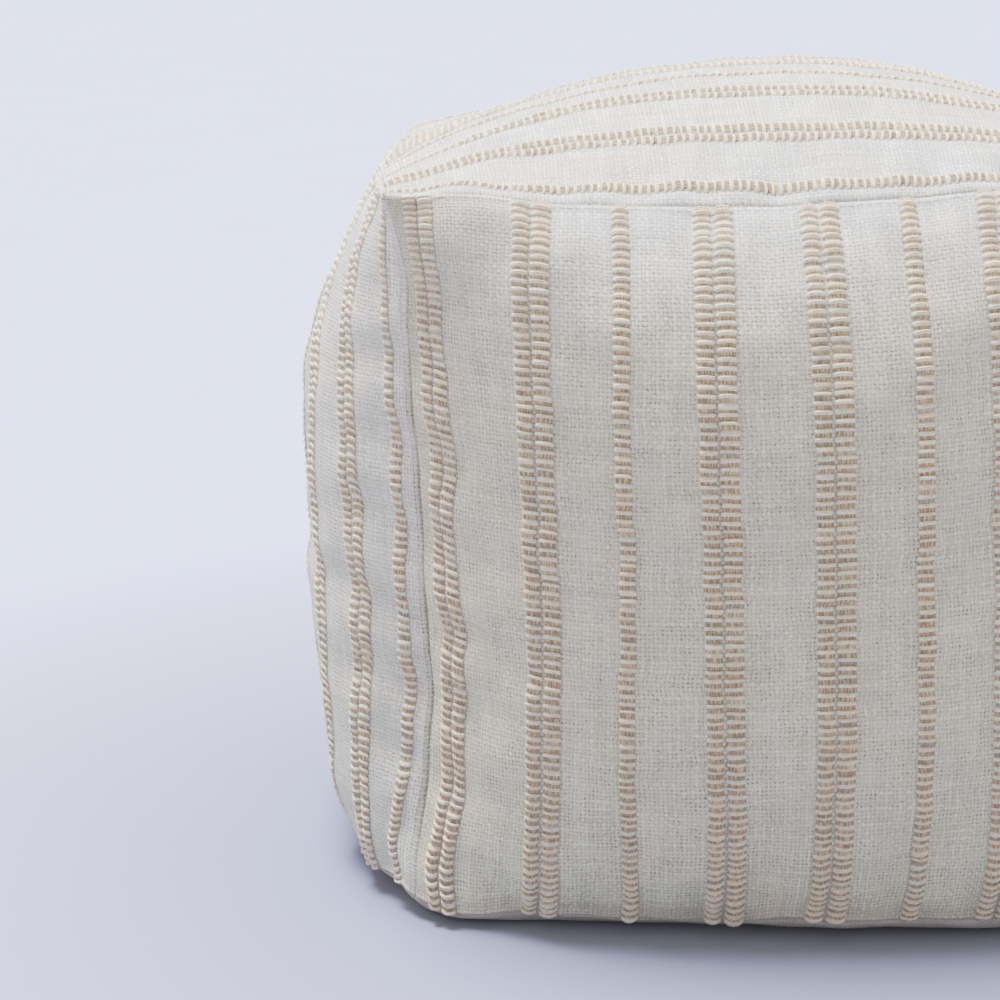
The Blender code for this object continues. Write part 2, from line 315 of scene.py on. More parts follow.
def upright_seam(diagonal, t):
    low = diagonal * BASE_CORNER + UP * BASE_CORNER_Z
    high = diagonal * (TOP_CORNER + EAR) + UP * TOP_CORNER_Z
    drawn = UPRIGHT_SEAM_IN * fall(t, UPRIGHT_SEAM_POWER) * (1 + UPRIGHT_SEAM_LEAN * t)
    drawn = drawn + EAR * (1 + t) / 2 * fall(np.maximum(t, 0), EAR_POWER)
    return low * (1 - t) / 2 + high * (1 + t) / 2 - diagonal * drawn


def between_seams(low, high, left, right, u, v):
    """The surface that spans four seams, each given as a function of its own -1 to 1."""
    ends = np.array([[-1.0], [1.0]])
    low_ends = low(ends)
    high_ends = high(ends)
    across = (1 - v) / 2 * low(u) + (1 + v) / 2 * high(u)
    along = (1 - u) / 2 * left(v) + (1 + u) / 2 * right(v)
    low_line = (1 - u) / 2 * low_ends[0] + (1 + u) / 2 * low_ends[1]
    high_line = (1 - u) / 2 * high_ends[0] + (1 + u) / 2 * high_ends[1]
    return across + along - (1 - v) / 2 * low_line - (1 + v) / 2 * high_line


def side_surface(side, u, v):
    out = OUTWARD[side]
    sideways = rightwards(out)
    cloth = between_seams(
        lambda t: base_seam(side, t),
        lambda t: top_seam(side, t),
        lambda t: upright_seam(out - sideways, t),
        lambda t: upright_seam(out + sideways, t),
        u,
        v,
    )
    rise, power_up, power_down = SIDE_CROWN[side]
    crown = rise * (1 + SIDE_CROWN_LEAN * v) * fall(u, SIDE_CROWN_ACROSS)
    return cloth + out * crown * fall(v, np.where(v > 0, power_up, power_down))


def level_seams(seam):
    """The four seams round the top or the base, all in the directions of +X and +Y."""
    return (
        lambda t: seam("panel_front", t),
        lambda t: seam("panel_back", -t),
        lambda t: seam("panel_left", -t),
        lambda t: seam("panel_right", t),
    )


def top_surface(u, v):
    cloth = between_seams(*level_seams(top_seam), u, v)
    return cloth + UP * TOP_CROWN * fall(u, TOP_CROWN_ACROSS) * fall(v, TOP_CROWN_BACK)


def base_surface(u, v):
    cloth = between_seams(*level_seams(base_seam), u, v)
    edge_u = np.clip((abs(u) - BASE_FLAT) / (1 - BASE_FLAT), 0, 1)
    edge_v = np.clip((abs(v) - BASE_FLAT) / (1 - BASE_FLAT), 0, 1)
    lift = 1 - (1 - edge_u**2) * (1 - edge_v**2)
    cloth[..., 2:] = GAP + (cloth[..., 2:] - GAP) * lift
    return cloth


def surface(name, u, v):
    """Points on a panel's smooth cloth, for arrays u and v of shape (..., 1)."""
    if name == "panel_top":
        return top_surface(u, v)
    if name == "panel_base":
        return base_surface(u, v)
    return side_surface(name, u, v)


def normals(points):
    """Outward unit normals of a grid of points, from its own slopes."""
    slope_u = np.gradient(points, axis=0)
    slope_v = np.gradient(points, axis=1)
    normal = np.cross(slope_u, slope_v)
    return normal / np.maximum(np.linalg.norm(normal, axis=-1, keepdims=True), TINY)


# -------- the lie of the cloth
def pushed(points):
    """Points as they lie after the pushes, each of which carries its surroundings along."""
    moved = points.copy()
    for ends, radius, push in PUSHES:
        line = np.subtract(ends[-1], ends[0])
        from_start = points * 1000 - np.array(ends[0])
        share = np.clip(from_start @ line / max(line @ line, 1), 0, 1)[..., None]
        away = np.linalg.norm(from_start - share * line, axis=-1, keepdims=True)
        moved += np.array(push) / 1000 * np.exp(-((away / radius) ** 2))
    from_middle = points - MIDDLE
    for lengths, height in WAVES:
        phase = (points * 1000 * 2 * np.pi / np.array(lengths)).sum(axis=-1, keepdims=True)
        outwards = from_middle / np.linalg.norm(from_middle, axis=-1, keepdims=True)
        moved += outwards * height / 1000 * np.sin(phase)
    return moved


def blended(low, high, slope_low, slope_high, f):
    """A smooth curve between two values with the given slopes, f from 0 to 1."""
    bend = 2 * (low - high) + slope_low + slope_high
    return low + f * (slope_low + f * (3 * (high - low) - 2 * slope_low - slope_high + f * bend))


def curve_through(heights, values, t):
    """A smooth curve through values at uneven heights."""
    heights, values = np.array(heights), np.array(values, float)
    slope = np.gradient(values, heights)
    k = np.clip(np.searchsorted(heights, t, side="right") - 1, 0, len(heights) - 2)
    span = heights[k + 1] - heights[k]
    f = (t - heights[k]) / span
    return blended(values[k], values[k + 1], slope[k] * span, slope[k + 1] * span, f)


def sampled(grid, u, v):
    """Vectors of a grid that spans -1 to 1 each way, read off smoothly."""
    last = len(grid) - 1
    x = (u + 1) / 2 * last
    y = (v + 1) / 2 * last
    column = np.clip(np.floor(x).astype(int), 0, last - 1)
    row = np.clip(np.floor(y).astype(int), 0, last - 1)
    columns = [np.clip(column + k, 0, last)[..., 0] for k in (-1, 0, 1, 2)]
    rows = [np.clip(row + k, 0, last)[..., 0] for k in (-1, 0, 1, 2)]

    def across(a, b, c, d, f):
        return blended(b, c, (c - a) / 2, (d - b) / 2, f)

    along = [across(*(grid[column, row] for row in rows), y - row) for column in columns]
    return across(*along, x - column)


def crease_depth(name, u, v):
    """How deep the creases lie under a panel's smooth cloth."""
    depth = np.zeros_like(u)
    for start, end, width, deep in CREASES.get(name, ()):
        line_u, line_v = end[0] - start[0], end[1] - start[1]
        share = ((u - start[0]) * line_u + (v - start[1]) * line_v) / (line_u**2 + line_v**2)
        share = np.clip(share, 0, 1)
        away = np.hypot(u - start[0] - share * line_u, v - start[1] - share * line_v) * HALF_SIDE
        depth = depth + deep * np.exp(-((away / width) ** 2)) * (1 - (2 * share - 1) ** 4)
    edge = 1 - np.maximum(abs(u), abs(v))
    return depth * np.clip(edge / CREASE_FADE, 0, 1)


puckers = {}  # for each panel, how its simulated cloth strays from the smooth shape


def cloth_form(name, u, v):
    """Points of a panel's cloth as it lies, without its cords, on grids u and v."""
    points = pushed(surface(name, u, v))
    if name in puckers:
        points = points + sampled(puckers[name], u, v)
    if name in CREASES:
        points = points - normals(points) * crease_depth(name, u, v)
    return points


def sway(name, place, along_t, width, rng):
    """How far the cloth lies aside, in metres, at places across a panel and along its stripes."""
    places = [0.0]
    lines = [np.zeros_like(along_t)]
    for (kind, share), strays in zip(STRIPES[name], SWAY[name]):
        line = curve_through(HEIGHTS, strays, along_t) / 1000
        for wave_length in WOBBLE_LENGTHS:
            turns = along_t * HALF_SIDE / wave_length + rng.random()
            line = line + WOBBLE * np.sin(2 * np.pi * turns) * (1 - along_t**2)
        half = CORD if kind == "pair" else CORD / 2
        places += [share * width - half, share * width + half]
        lines += [line, line]
    places = np.array(places + [width])
    lines = np.stack(lines + [np.zeros_like(along_t)])
    k = np.clip(np.searchsorted(places, place, side="right") - 1, 0, len(places) - 2)
    f = ((place - places[k]) / (places[k + 1] - places[k]))[:, None]
    column = np.arange(len(place))
    return lines[k, column] * (1 - f) + lines[k + 1, column] * f


# -------- rows and columns of the cloth
def cloth_length(name, steps, crosswise):
    """Length of cloth from the first seam to each step, along a panel's middle."""
    t = steps[:, None]
    still = np.zeros_like(t)
    path = surface(name, t, still) if crosswise else surface(name, still, t)
    return np.concatenate([[0.0], np.cumsum(np.linalg.norm(np.diff(path, axis=0), axis=1))])


def spaced(start, end, step):
    """Evenly spaced places between two, without its ends."""
    return list(np.linspace(start, end, int(np.ceil((end - start) / step)) + 1)[1:-1])


def plain_columns(start, end, cord_before):
    """Columns of plain cloth up to a cord, with one right beside it and one right after the last."""
    low = start + CORD_MARGIN * cord_before
    high = end - CORD_MARGIN
    if high < low + CORD_MARGIN:
        return []
    places = ([low] if cord_before else []) + spaced(low, high, PLAIN_STEP) + [high]
    return [(place, -1, 0.0) for place in places]


def cord_columns(name, total):
    """For each column across a striped panel: its place in metres of cloth, the number of its
    cord or -1, and where it lies across that cord, from -1 to 1. Then each cord's stripe."""
    table = [(step, -1, 0.0) for step in EDGE_STEPS]
    stripe_of_cord = []
    for stripe, (kind, share) in enumerate(STRIPES[name]):
        spans = PAIR_CORDS if kind == "pair" else ((-0.5, 0.5),)
        spans = [(share * total + low * CORD, share * total + high * CORD) for low, high in spans]
        table += plain_columns(table[-1][0], spans[0][0], stripe > 0)
        for low, high in spans:
            cord = len(stripe_of_cord)
            table += [(low + (high - low) * (s + 1) / 2, cord, s) for s in CORD_COLUMNS]
            stripe_of_cord.append(stripe)
    last = total - EDGE_STEPS[-1]
    if last > table[-1][0]:
        beside = table[-1][0] + CORD_MARGIN
        table += [(place, -1, 0.0) for place in [beside] + spaced(beside, last, PLAIN_STEP)]
        table += [(total - step, -1, 0.0) for step in EDGE_STEPS[::-1]]
    else:
        steps = [step for step in EDGE_STEPS[::-1] if total - step > table[-1][0] + LEAST_STEP]
        table += [(total - step, -1, 0.0) for step in steps]
    return np.array(table), np.array(stripe_of_cord)


def bar_habits(name, stripe_of_cord, bars, length, rng):
    """How each bar is and lies, as arrays of cords by bars, and how near each bar is to the seams
    at the ends of its cord."""
    cords = len(stripe_of_cord)
    size = (cords, bars)
    on_side = name != "panel_top"
    middles = (np.arange(bars) + 0.5) * (length / bars)
    near_top = np.exp(-(length - middles) / TOP_REACH) * on_side
    near_base = np.exp(-((middles / BASE_REACH) ** 2)) * on_side
    share = TAN_SHARE + (TAN_SHARE_TOP - TAN_SHARE) * near_top
    share = share + (TAN_SHARE_BASE - TAN_SHARE) * near_base
    share = np.clip(rng.normal(share, SHARE_SPREAD, size), *SHARE_LIMITS)
    shift = rng.normal(0, BAR_SHIFT, size)
    shift = shift + STAGGER.get(name, 0.0) * (np.arange(cords) % 2)[:, None]
    shift = shift + CORD_SHIFT * rng.random((cords, 1))
    slant = rng.normal(0, BAR_SLANT, size)
    strength = 1 - STRENGTH_SPREAD * rng.random(size) ** STRENGTH_POWER
    # painted light on the tan beside the top seam
    strength = strength * (1 - TOP_PALENESS * near_top)
    if name in TAN_STRENGTH:
        strength = strength * np.array(TAN_STRENGTH[name])[stripe_of_cord][:, None]
    tint = TINT.get(name, USUAL_TINT) + TINT_SPREAD * rng.normal(0, 1, size)
    fullness = 1 + rng.normal(0, RISE_SPREAD, size) + BASE_FULLNESS * near_base
    swell = rng.normal(0, WIDTH_SPREAD, size)
    habits = {"near_top": near_top, "tan_share": share, "shift": shift, "slant": slant}
    habits.update(strength=strength, tint=tint, fullness=fullness, swell=swell)
    return habits


def rows_along(cord, s, habits, length, on_side):
    """How far along each column of the cloth its rows lie, and each row's bar, whether the row
    is in the bar's tan half, and where it is in that half, from 0 to 1."""
    bars = len(habits["near_top"])
    period = length / bars
    bar = np.repeat(np.arange(bars), len(BAR_ROWS))
    local = np.tile([row[0] for row in BAR_ROWS], bars)
    is_tan = np.tile([row[1] == "tan" for row in BAR_ROWS], bars)
    on_cord = cord >= 0
    k = np.maximum(cord, 0)[:, None]
    share = np.where(on_cord[:, None], habits["tan_share"][k, bar], TAN_SHARE)
    inner = (bar + np.where(is_tan, local * share, share + local * (1 - share))) * period
    from_ends = np.minimum(inner, length - inner)
    hold = np.where(on_cord, 1 - EDGE_HOLD * abs(s) ** EDGE_HOLD_POWER, 0)[:, None]
    stray = habits["shift"][k, bar] + habits["slant"][k, bar] * s[:, None]
    stray = hold * stray * np.clip(from_ends / STAGGER_FADE, 0, 1)
    sag = ARC_BASE * np.exp(-((inner / ARC_REACH) ** 2))
    arc = (ARC_TOP * habits["near_top"][bar] - sag) * on_side
    arc = arc * np.clip(from_ends / ARC_FADE, 0, 1) * np.where(on_cord, 1 - s**2, 0)[:, None]
    along = np.clip(inner + (stray + arc) * period, END_MARGIN, length - END_MARGIN)
    along = np.maximum.accumulate(along + ROW_STEP * np.arange(len(local)), axis=1)
    ends = np.zeros((len(cord), 1))
    along = np.concatenate([ends, along, ends + length], axis=1)
    return (along, *(np.pad(values, 1, mode="edge") for values in (bar, is_tan, local)))


def seam_rise(name, from_seam):
    """How far the cloth stands out beside a seam, over its smooth form."""
    rise = SEAM_RIDGE * np.exp(-(((from_seam - RIDGE_AT) / RIDGE_WIDTH) ** 2))
    rise = rise - SEAM_DIP * np.exp(-from_seam / DIP_WIDTH)
    if name == "panel_top":
        rise = rise - TOP_SINK * np.exp(-((from_seam / SINK_WIDTH) ** 2))
    return rise


def build_striped(name, seed):
    """Points of a striped panel, what its material needs to know of each (how surely it is on a
    cord, how strong its tan or the painted shade in its weave is, its tint, which on plain cloth
    is its painted warm shade, and its side of the cord), and their places on the flat cloth."""
    rng = np.random.default_rng(seed)
    on_side = name != "panel_top"
    steps = np.linspace(-1, 1, LENGTH_STEPS)
    across_length = cloth_length(name, steps, on_side)
    along_length = cloth_length(name, steps, not on_side)
    width, length = across_length[-1], along_length[-1]
    table, stripe_of_cord = cord_columns(name, width)
    place, cord, s = table[:, 0], table[:, 1].astype(int), table[:, 2]
    on_cord = (cord >= 0)[:, None]
    k = np.maximum(cord, 0)[:, None]
    bars = int(round(length / BAR_PERIOD))
    habits = bar_habits(name, stripe_of_cord, bars, length, rng)
    along, bar, is_tan, local = rows_along(cord, s, habits, length, on_side)

    along_t = np.interp(along, along_length, steps)
    aside = sway(name, place, along_t, width, rng)
    narrow = np.where(is_tan, TAN_NARROW, 0) + habits["swell"][k, bar]
    shape_place = place[:, None] - narrow * s[:, None] * CORD / 2
    across_t = np.interp(np.clip(shape_place + aside, 0, width), across_length, steps)
    if on_side:
        near = np.clip((along_t - GATHER_FROM) / (1 - GATHER_FROM), 0, 1)
        across_t = across_t - STRIPE_GATHER * near**2 * across_t * (1 - across_t**2)

    from_ends = np.minimum(along, length - along)
    from_sides = np.minimum(place, width - place)[:, None]
    from_tips = length - along if on_side else from_ends
    tip = 1 - (1 - np.clip(from_tips / TIP, 0, 1)) ** 2
    arch = np.sqrt(np.maximum(tip - s[:, None] ** 2, 0)) * on_cord
    bulge = CREAM_VALLEY + (1 - CREAM_VALLEY) * np.sin(local * np.pi)
    rise = np.where(is_tan, TAN_RISE, CREAM_RISE * bulge) * habits["fullness"][k, bar] * arch
    rise = rise * (1 - FLATNESS.get(name, 0.0)) + seam_rise(name, np.minimum(from_sides, from_ends))

    # painted light beside the top seam, where light falls from above: cooler cloth with less painted
    # shade in its weave
    top_light = np.exp(-(((length - along) / TOP_LIGHT_REACH) ** 2)) * on_side
    top_light = top_light * np.clip(from_sides / TOP_LIGHT_MARGIN, 0, 1)
    weave_shade = WEAVE_SHADE.get(name, USUAL_WEAVE_SHADE) * (1 - TOP_WEAVE_LIGHT * top_light)
    shade_warmth = SHADE_WARMTH.get(name, USUAL_SHADE_WARMTH) * (1 - top_light)
    thread = np.zeros(along.shape + (4,))
    thread[..., 0] = np.clip(arch * CORD_START, 0, 1)
    thread[..., 1] = np.where(arch > 0, np.where(is_tan, habits["strength"][k, bar], 0), weave_shade)
    thread[..., 2] = np.where(on_cord & (abs(s) < 1)[:, None], habits["tint"][k, bar], shade_warmth)
    thread[..., 3] = (s * 0.5 + 0.5)[:, None]
    cloth = np.stack([shape_place, along], axis=-1)
    u, v = across_t, along_t
    if not on_side:
        u, v, rise = along_t.T, across_t.T, rise.T
        thread, cloth = thread.swapaxes(0, 1), cloth.swapaxes(0, 1)
    base = cloth_form(name, u[..., None], v[..., None])
    return base + normals(base) * rise[..., None], thread, cloth


def build_base():
    """The same for the plain base panel."""
    steps = np.linspace(-1, 1, LENGTH_STEPS)
    flat = np.linspace(-BASE_FLAT, BASE_FLAT, BASE_COLUMNS)
    rim = np.linspace(BASE_FLAT, 1, BASE_RIM_COLUMNS + 1)[1:]
    places = np.concatenate([-rim[::-1], flat, rim])
    u, v = np.meshgrid(places, places, indexing="ij")
    level = base_surface(u[..., None], v[..., None])
    points = pushed(level)
    raised = np.clip((level[..., 2] - GAP) / BASE_BLEND, 0, 1)
    points[..., 2] = level[..., 2] + (points[..., 2] - level[..., 2]) * raised
    length = cloth_length("panel_base", steps, True)
    cloth = np.stack([np.interp(u, steps, length), np.interp(v, steps, length)], axis=-1)
    thread = np.zeros(points.shape[:2] + (4,))
    thread[..., 1:] = BASE_THREAD
    return points, thread, cloth


# -------- the puckers, by cloth simulation
CAGE_STEPS = 61  # points along each side of a panel
SEAM_MATCH = 5  # decimals of a metre, to which neighbouring panels' points are the same
LOOSENESS = 0.02  # how much longer the cloth is than its seams
LOOSE_REACH = 0.35  # of u and v, over which that fades
CAGE_CLOTH = {
    "quality": 5,
    "mass": 0.3,
    "tension_stiffness": 15,
    "compression_stiffness": 15,
    "shear_stiffness": 5,
    "bending_stiffness": 0.3,
    "use_pressure": True,
    "uniform_pressure_force": 2.0,
    "vertex_group_mass": "held",
    "pin_stiffness": 50,
    "shrink_min": -LOOSENESS,
    "shrink_max": 0,
    "vertex_group_shrink": "firm",
}
FRAMES = 16
SOFTEN_ROUNDS = 40  # what that many take out is swelling, and what is left is ripple
PUCKER_CAP = 0.004


def quads_of(grid):
    """The faces of a grid of point numbers."""
    corners = [grid[:-1, :-1], grid[1:, :-1], grid[1:, 1:], grid[:-1, 1:]]
    return np.stack(corners, axis=-1).reshape(-1, 4)


def softened(grid, rounds):
    """A grid of vectors with its small waves taken out, its rim left as it is."""
    for _ in range(rounds):
        wide = grid[:-2] + 2 * grid[1:-1] + grid[2:]
        soft = grid.copy()
        soft[1:-1, 1:-1] = (wide[:, :-2] + 2 * wide[:, 1:-1] + wide[:, 2:]) / 16
        grid = soft
    return grid


def simulate_puckers():
    """The whole cover as one closed cage, held at its seams, with loose cloth beside them, is
    filled with pressure. What is kept is how each panel ripples, not its overall swelling."""
    steps = np.linspace(-1, 1, CAGE_STEPS)
    u, v = np.meshgrid(steps, steps, indexing="ij")
    flat = [pushed(surface(name, u[..., None], v[..., None])).reshape(-1, 3) for name in OUTWARD]
    flat = np.concatenate(flat)
    matched = np.round(flat, SEAM_MATCH)
    first, number = np.unique(matched, axis=0, return_index=True, return_inverse=True)[1:]
    start = flat[first]
    numbers = number.reshape(len(OUTWARD), CAGE_STEPS, CAGE_STEPS)

    faces = []
    firm = np.ones(len(start))
    held = np.zeros(len(start), bool)
    for name, grid in zip(OUTWARD, numbers):
        quads = quads_of(grid)
        faces += (quads[:, ::-1] if name == "panel_base" else quads).tolist()
        from_seam = 1 - np.maximum(abs(u), abs(v))
        firm[grid] = np.minimum(firm[grid], np.clip(from_seam / LOOSE_REACH, 0, 1))
        held[grid[(from_seam < AT_EDGE) | (name == "panel_base")]] = True

    mesh = bpy.data.meshes.new("cage")
    mesh.from_pydata(start.tolist(), [], faces)
    cage = bpy.data.objects.new("cage", mesh)
    bpy.context.scene.collection.objects.link(cage)
    cage.vertex_groups.new(name="held").add(np.flatnonzero(held).tolist(), 1.0, "REPLACE")
    group = cage.vertex_groups.new(name="firm")
    for level in np.unique(np.round(firm, 2)):
        group.add(np.flatnonzero(np.round(firm, 2) == level).tolist(), float(level), "REPLACE")

    cloth = cage.modifiers.new("cloth", "CLOTH")
    for setting, value in CAGE_CLOTH.items():
        setattr(cloth.settings, setting, value)
    cloth.settings.effector_weights.gravity = 0
    cloth.collision_settings.use_collision = False
    cloth.point_cache.frame_end = FRAMES
    for frame_number in range(1, FRAMES + 1):
        bpy.context.scene.frame_set(frame_number)
    settled = cage.evaluated_get(bpy.context.evaluated_depsgraph_get()).data
    places = np.zeros(len(start) * 3, np.float32)
    settled.vertices.foreach_get("co", places)
    moved = places.reshape(-1, 3) - start

    for name, grid in zip(OUTWARD, numbers):
        if name != "panel_base":
            ripple = softened(moved[grid] - softened(moved[grid], SOFTEN_ROUNDS), 1)
            size = np.maximum(np.linalg.norm(ripple, axis=-1, keepdims=True) / PUCKER_CAP, TINY)
            puckers[name] = ripple * np.tanh(size) / size
    bpy.data.objects.remove(cage)
    bpy.data.meshes.remove(mesh)
    bpy.context.scene.frame_set(1)


simulate_puckers()


# -------- meshes
def ring_of(grid):
    """The numbers round the edge of a grid, in order, without the first one again."""
    return np.concatenate([grid[:-1, 0], grid[-1, :-1], grid[:0:-1, -1], grid[0, :0:-1]])


MARGIN = 0.02  # of the bake's map, left for the turned-in cloth and the closed back
BACK_CLOTH = 4 * TUCK  # how far out on the flat cloth the closed back's middle lies
PLAIN_THREAD = (0.0, 0.0, 0.5, 0.5)  # of the closed back, as in build_striped


def add_panel(name, points, thread, cloth):
    """A closed piece: the cloth, its turned-in edge, and the back that meets in the middle."""
    count_u, count_v = points.shape[:2]
    grid = np.arange(count_u * count_v).reshape(count_u, count_v)
    quads = quads_of(grid)
    rim = ring_of(grid)
    flat = points.reshape(-1, 3)
    rim_points = flat[rim]
    inwards = MIDDLE - rim_points
    inwards /= np.linalg.norm(inwards, axis=1, keepdims=True)
    tuck = len(flat) + np.arange(len(rim))
    middle = len(flat) + len(rim)
    places = np.concatenate([flat, rim_points + inwards * TUCK, [MIDDLE]]) + OUTWARD[name] * GAP
    following = np.roll(rim, -1)
    tucked = np.roll(tuck, -1)
    turned = np.stack([rim, tuck, tucked, following], axis=-1)
    back = np.stack([tuck, np.full(len(tuck), middle), tucked], axis=-1)

    shares = np.meshgrid(np.linspace(0, 1, count_u), np.linspace(0, 1, count_v), indexing="ij")
    map_grid = MARGIN + (1 - 2 * MARGIN) * np.stack(shares, axis=-1).reshape(-1, 2)
    off_middle = map_grid[rim] - 0.5
    outwards = np.sign(off_middle) * (abs(off_middle) > 0.5 - MARGIN - AT_EDGE)
    map_tuck = map_grid[rim] + outwards * MARGIN / 2
    map_back = map_grid[rim] + outwards * MARGIN
    map_places = np.concatenate([map_grid, map_tuck])

    corners = np.concatenate([quads.ravel(), turned.ravel(), back.ravel()])
    sizes = np.concatenate([np.full(len(quads) + len(turned), 4), np.full(len(back), 3)])
    starts = np.concatenate([[0], np.cumsum(sizes)[:-1]])
    mesh = bpy.data.meshes.new(name + "_cloth")
    mesh.vertices.add(len(places))
    mesh.vertices.foreach_set("co", places.astype(np.float32).ravel())
    mesh.loops.add(len(corners))
    mesh.loops.foreach_set("vertex_index", corners.astype(np.int32))
    mesh.polygons.add(len(sizes))
    mesh.polygons.foreach_set("loop_start", starts.astype(np.int32))
    mesh.update(calc_edges=True)

    bake_uv = np.zeros((len(corners), 2))
    known = corners < middle
    bake_uv[known] = map_places[corners[known]]
    bake_uv[~known] = (map_back + np.roll(map_back, -1, axis=0)) / 2
    cloth_flat = cloth.reshape(-1, 2)
    cloth_all = np.concatenate([cloth_flat, cloth_flat[rim] + outwards * TUCK])
    cloth_uv = np.zeros((len(corners), 2))
    cloth_uv[known] = cloth_all[corners[known]]
    cloth_uv[~known] = cloth_flat[rim] + outwards * BACK_CLOTH
    for layer, values in (("OFBake", bake_uv), ("Cloth", cloth_uv)):
        mesh.uv_layers.new(name=layer).uv.foreach_set("vector", values.astype(np.float32).ravel())
    thread_flat = thread.reshape(-1, 4)
    colours = np.concatenate([thread_flat, thread_flat[rim] * [0, 0, 1, 1], [PLAIN_THREAD]])
    attribute = mesh.attributes.new("thread", "FLOAT_COLOR", "POINT")
    attribute.data.foreach_set("color", colours.astype(np.float32).ravel())
    mesh.polygons.foreach_set("use_smooth", np.ones(len(sizes), bool))
    mesh.validate()
    mesh.update()
    panel = bpy.data.objects.new(name + "_cloth", mesh)
    bpy.context.scene.collection.objects.link(panel)
    return panel


# -------- materials
class Nodes:
    """Short ways to add nodes to a material or a world."""

    def __init__(self, owner):
        owner.use_nodes = True
        self.tree = owner.node_tree

    def put(self, socket, value):
        if isinstance(value, bpy.types.NodeSocket):
            self.tree.links.new(value, socket)
        else:
            socket.default_value = value

    def add(self, kind, values=None, **settings):
        """The outputs of a new node, with values or links for its inputs by number or name."""
        node = self.tree.nodes.new(kind)
        for key, value in settings.items():
            setattr(node, key, value)
        for key, value in (values or {}).items():
            self.put(node.inputs[key], value)
        return node.outputs

    def math(self, operation, a, b=0.0, c=0.0, clamp=False):
        values = {0: a, 1: b, 2: c}
        return self.add("ShaderNodeMath", values, operation=operation, use_clamp=clamp)[0]

    def times(self, a, b):
        return self.math("MULTIPLY", a, b)

    def mix(self, share, a, b, blend="MIX"):
        values = {0: share, 6: a, 7: b}
        return self.add("ShaderNodeMix", values, data_type="RGBA", blend_type=blend)[2]

    def mix_number(self, share, a, b):
        return self.add("ShaderNodeMix", {0: share, 2: a, 3: b}, data_type="FLOAT")[0]

    def ramp(self, value, low, high, to_low=0.0, to_high=1.0):
        values = {0: value, 1: low, 2: high, 3: to_low, 4: to_high}
        return self.add("ShaderNodeMapRange", values, clamp=True)[0]

    def noise(self, vector, scale, detail=2.0, roughness=0.5):
        values = {"Vector": vector, "Scale": scale, "Detail": detail, "Roughness": roughness}
        return self.add("ShaderNodeTexNoise", values, noise_dimensions="2D")[0]

    def patches(self, vector, scale, detail, roughness, *limits):
        """A noise, with its low and high made into two other values."""
        return self.ramp(self.noise(vector, scale, detail, roughness), *limits)

    def off_middle(self, value):
        """How far from the middle of 0 to 1 a value is, as 0 to 1."""
        return self.math("ABSOLUTE", self.math("MULTIPLY_ADD", value, 2.0, -1.0))

    def vector(self, x, y):
        return self.add("ShaderNodeCombineXYZ", {0: x, 1: y})[0]

    def chance(self, x, y):
        """A number from 0 to 1 for each cell."""
        values = {"Vector": self.vector(x, y)}
        return self.add("ShaderNodeTexWhiteNoise", values, noise_dimensions="2D")[0]


# -------- the plain weave
WARP_PITCH = 0.0023
WEFT_PITCH = BAR_PERIOD / 2
COTTON = (0.805, 0.785, 0.765, 1.0)
COTTON_COOL = (0.795, 0.790, 0.780, 1.0)
# painted warm shade of the sides' plain cloth
COTTON_WARM_SHADE = (0.808, 0.745, 0.652, 1.0)
COTTON_LOW_LIT = (0.868, 0.838, 0.705, 1.0)  # of the sides near the floor: painted light, lighter than the warm shade above
# painted shade seen in the weave's holes
HOLE_SHADOW_COLOUR = (0.400, 0.355, 0.310, 1.0)
LOW_FROM = 0.22  # how high up the sides' low colour starts
LOW_RIM = 0.007  # how high up it ends
RIM_LINE = (0.0006, 0.0022)  # how high up the painted shade along the base seam's crease is, and where it ends
RIM_SHADE = 0.72  # how dark it is
CORD_SHADOW = (0.84, 1.0, 1.0, 0.84)  # from where on the way to a cord the cloth darkens, how dark
PATCHES = {  # noise: its scale, detail and roughness, its low and high, and what it is there
    "cool": (18.0, 3.0, 0.5, 0.35, 0.65, 0.0, 1.0),
    "mottled": (34.0, 4.0, 0.6, 0.3, 0.7, 0.965, 1.025),
    "fuzzy": (1100.0, 2.0, 0.5, 0.25, 0.75, 0.87, 1.08),
    "open": (75.0, 3.0, 0.65, 0.36, 0.62, 0.25, 1.0),
}
STRAY = (420.0, 0.0012)  # the scale of the noise that moves the threads, and how far
STRAY_ACROSS = (90.0, 0.0011)
STRAY_ALONG = (140.0, 0.0011)
SLUB_TURNS = (7.31, 5.17)  # sets each warp and each weft thread's noise apart from the next one's
SLUB_LENGTH = 20.0  # of a thread's thick and thin places, in pitches
SLUB_SHADE = (0.25, 0.75, 0.89, 1.07)  # the low and high of that noise, and its shades
GROOVE_POWER = 3.0  # the higher it is, the narrower the lines between the threads are
GROOVE_SHADE = 0.16  # how much darker they are painted, as shade in the lines between the threads
GROOVE_DEPTH = 0.25
HOLE_SHADE = 0.85  # how much of the painted shade colour shows in the holes
HOLE_DEPTH = 0.4
HOLE_REACH = (0.10, 0.36)  # of a thread's pitch, how far out a hole is whole, and where it ends
HOLE_FAINTEST = 0.15  # how much of it the faintest hole has


